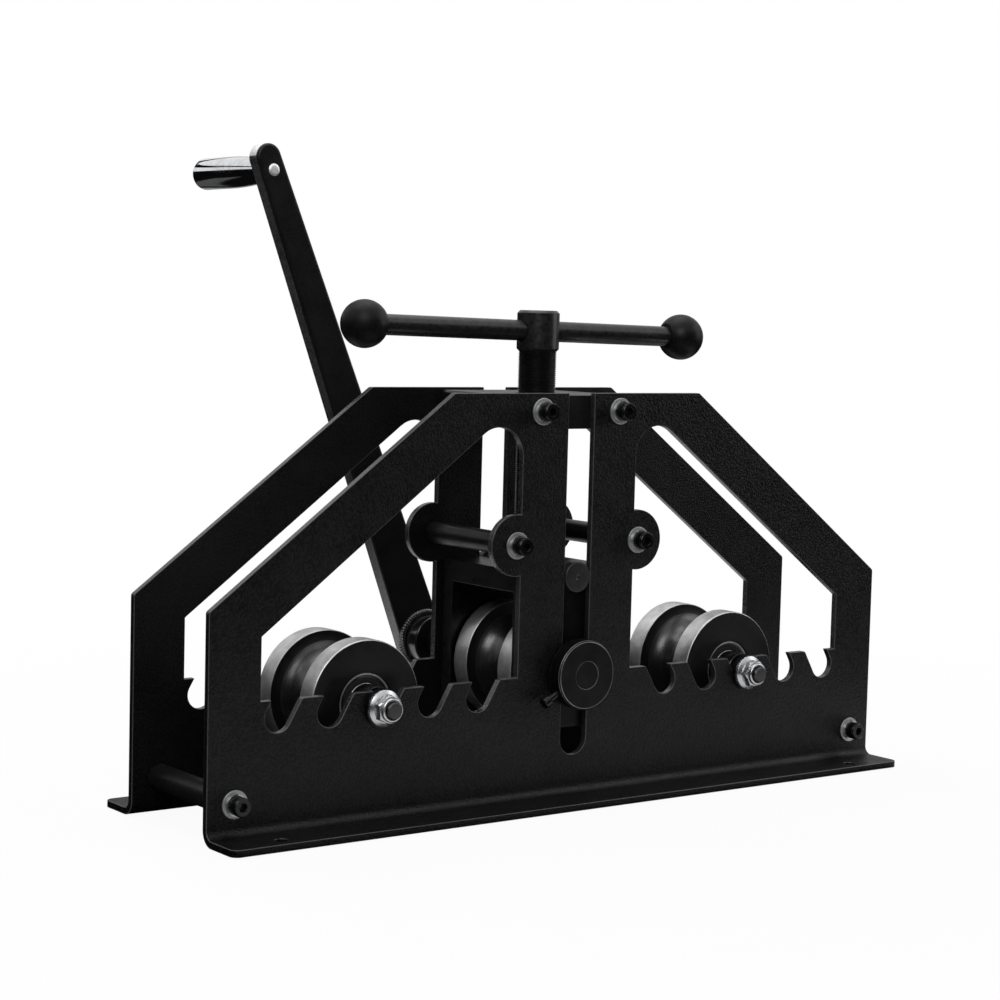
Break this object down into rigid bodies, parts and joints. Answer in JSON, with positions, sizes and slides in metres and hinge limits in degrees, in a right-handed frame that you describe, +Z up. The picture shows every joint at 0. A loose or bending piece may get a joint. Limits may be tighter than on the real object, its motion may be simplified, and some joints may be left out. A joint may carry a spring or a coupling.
{
  "type": "ring roller",
  "caption": "Hand-cranked bench ring roller: grooved drive die on a screw-fed yoke between notched side plates, idler dies on bearings, sliding bar and crank.",
  "frame": {"origin": "Centre of the four foot holes, on the underside of the feet.", "axes": "+X along the side plates, towards the right idler die. +Y across them, towards the crank. +Z up."},
  "size_m": [0.6, 0.3296, 0.4686],
  "materials": {
    "plate_coat": "fine textured black powder coat",
    "smooth_coat": "smooth semi-gloss black coat",
    "gloss_coat": "gloss black coat",
    "black_screw": "black oxide",
    "zinc": "bright zinc plate",
    "black_die": "satin black turned steel",
    "ground_steel": "ground bearing steel",
    "seal_rubber": "matt black rubber",
    "bronze": "sintered bronze",
    "thread_steel": "oiled black steel",
    "chrome_grip": "polished chrome plate",
    "bright_steel": "plain turned steel"
  },
  "bodies": {
    "frame": {"near_side_plate": "plate_coat", "far_side_plate": "plate_coat", "nut_block": "smooth_coat", "left_ear_spacer": "smooth_coat", "right_ear_spacer": "smooth_coat", "left_base_spacer": "smooth_coat", "right_base_spacer": "smooth_coat", "cap_screws": "black_screw", "lock_washers": "zinc", "flat_washers": "zinc", "left_idler_axle": "bright_steel", "right_idler_axle": "bright_steel", "axle_washers": "black_screw", "axle_flange_nuts": "zinc", "left_idler_sleeves": "black_screw", "right_idler_sleeves": "black_screw", "left_bearing_inner_rings": "ground_steel", "right_bearing_inner_rings": "ground_steel"},
    "carriage": {"yoke": "gloss_coat", "near_guide_pin": "black_screw", "far_guide_pin": "black_screw", "near_shaft_bush": "bronze", "far_shaft_bush": "bronze"},
    "feed_screw": {"lead_screw": "thread_steel", "screw_head": "smooth_coat", "retaining_washer": "zinc", "retaining_clip": "black_screw"},
    "turning_bar": {"tommy_bar": "smooth_coat", "left_bar_knob": "gloss_coat", "right_bar_knob": "gloss_coat"},
    "drive": {"drive_shaft": "thread_steel", "drive_key": "bright_steel", "drive_die": "black_die", "near_retaining_collar": "black_screw", "far_retaining_collar": "black_screw", "collar_screws": "black_screw", "crank_arm": "smooth_coat", "crank_hub": "smooth_coat", "hub_screw": "black_screw", "grip_pin": "bright_steel"},
    "grip": {"crank_grip": "chrome_grip"},
    "left_idler": {"left_idler_die": "black_die", "left_bearing_outer_rings": "ground_steel", "left_bearing_seals": "seal_rubber"},
    "right_idler": {"right_idler_die": "black_die", "right_bearing_outer_rings": "ground_steel", "right_bearing_seals": "seal_rubber"}
  },
  "joints": [
    {"name": "carriage_slide", "type": "slide", "parent": "frame", "child": "carriage", "axis": [0, 0, 1], "range_m": [-0.0225, 0.093]},
    {"name": "screw_turn", "type": "hinge", "parent": "carriage", "child": "feed_screw", "pos_m": [0, 0, 0.3], "axis": [0, 0, 1], "range_deg": [-5400, 22320]},
    {"name": "bar_slide", "type": "slide", "parent": "feed_screw", "child": "turning_bar", "axis": [0.9944, -0.1045, -0.0183], "range_m": [-0.0968, 0.1123]},
    {"name": "drive_turn", "type": "hinge", "parent": "carriage", "child": "drive", "pos_m": [0, 0, 0.092], "axis": [0, 1, 0], "continuous": true},
    {"name": "grip_turn", "type": "hinge", "parent": "drive", "child": "grip", "pos_m": [-0.1436, 0.2, 0.44922], "axis": [0, 1, 0], "continuous": true},
    {"name": "left_idler_turn", "type": "hinge", "parent": "frame", "child": "left_idler", "pos_m": [-0.1665, 0, 0.0804], "axis": [0, 1, 0], "continuous": true},
    {"name": "right_idler_turn", "type": "hinge", "parent": "frame", "child": "right_idler", "pos_m": [0.1665, 0, 0.0804], "axis": [0, 1, 0], "continuous": true}
  ],
  "couplings": [
    {"joint": "carriage_slide", "follows": "screw_turn", "m_per_rad": 0.00023873}
  ]
}
